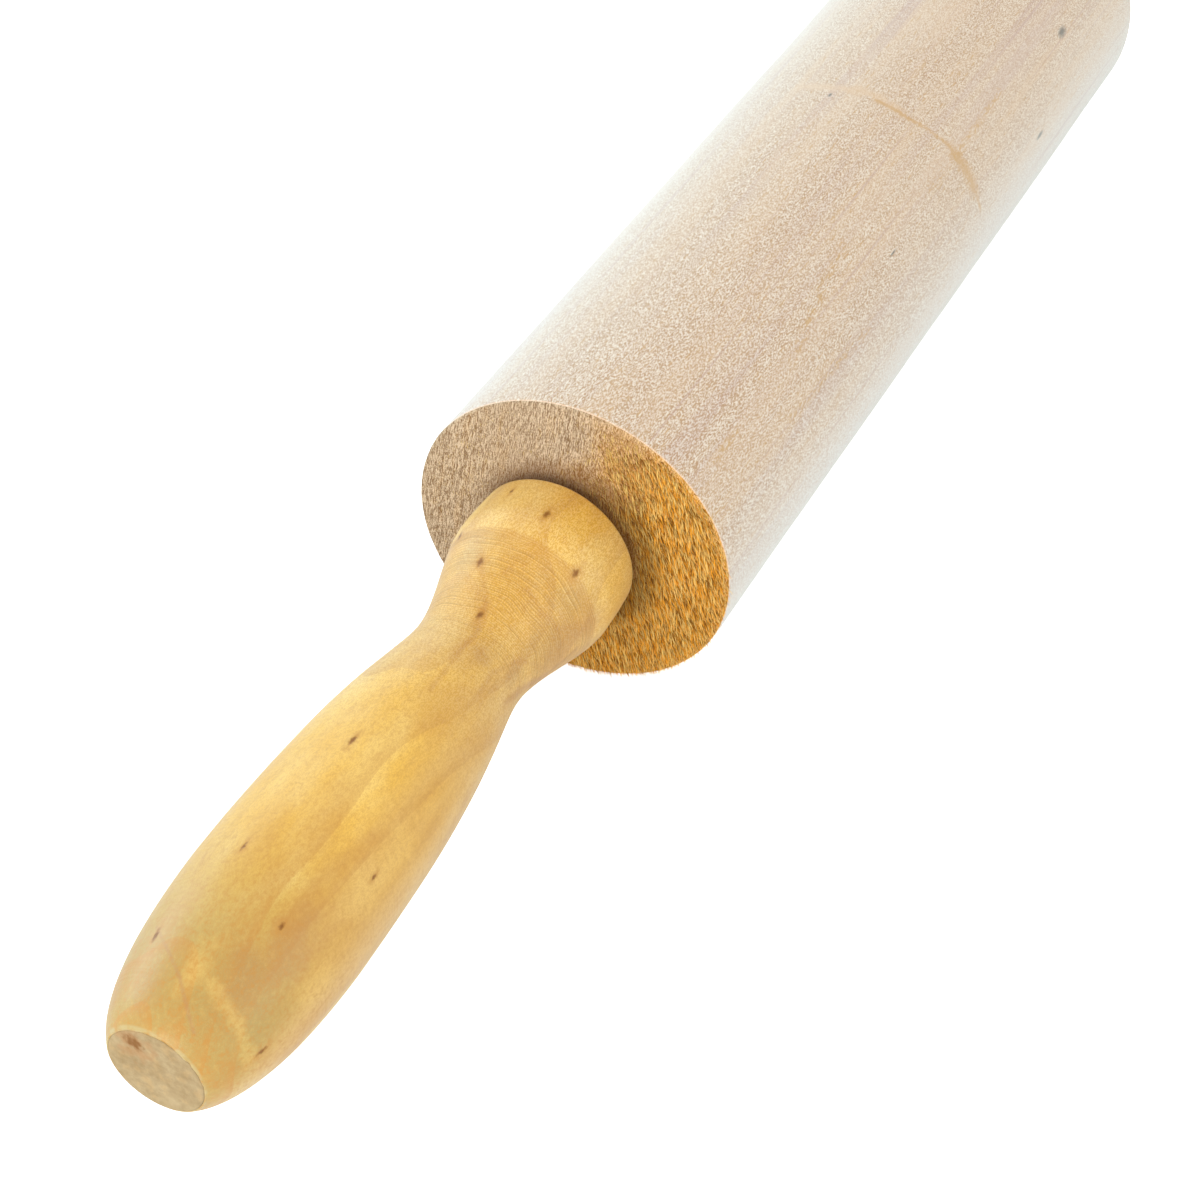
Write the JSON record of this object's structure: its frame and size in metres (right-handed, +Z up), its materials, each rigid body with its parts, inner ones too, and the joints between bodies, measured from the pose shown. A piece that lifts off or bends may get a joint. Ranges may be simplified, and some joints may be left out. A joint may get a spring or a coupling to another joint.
{
  "type": "rolling pin",
  "caption": "Wooden rolling pin: a plain raw-wood barrel spins on a steel axle between turned handles, each with a collar, a narrow waist and a swelling grip.",
  "frame": {"origin": "on the pin's axis, midway between the handle ends", "axes": "+X along the axle towards the right handle, +Z up from the surface that the barrel lies on"},
  "size_m": [0.4358, 0.055, 0.055],
  "materials": {
    "raw_wood": "sanded, unfinished",
    "handle_wood": "satin clear varnish",
    "plug_wood": "raw end grain",
    "axle_steel": "drawn bar",
    "zinc_steel": "zinc plated",
    "bush_nylon": "natural nylon"
  },
  "bodies": {
    "handles": {"axle": "axle_steel", "left_thrust_washer": "zinc_steel", "right_thrust_washer": "zinc_steel", "left_handle": "handle_wood", "right_handle": "handle_wood", "left_clamp_washer": "zinc_steel", "right_clamp_washer": "zinc_steel", "left_spring_washer": "zinc_steel", "right_spring_washer": "zinc_steel", "left_nut": "zinc_steel", "right_nut": "zinc_steel", "left_end_plug": "plug_wood", "right_end_plug": "plug_wood"},
    "roller": {"barrel": "raw_wood", "left_bush": "bush_nylon", "right_bush": "bush_nylon"}
  },
  "joints": [
    {"name": "barrel_spin", "type": "hinge", "parent": "handles", "child": "roller", "pos_m": [0, 0, 0], "axis": [1, 0, 0], "continuous": true}
  ]
}
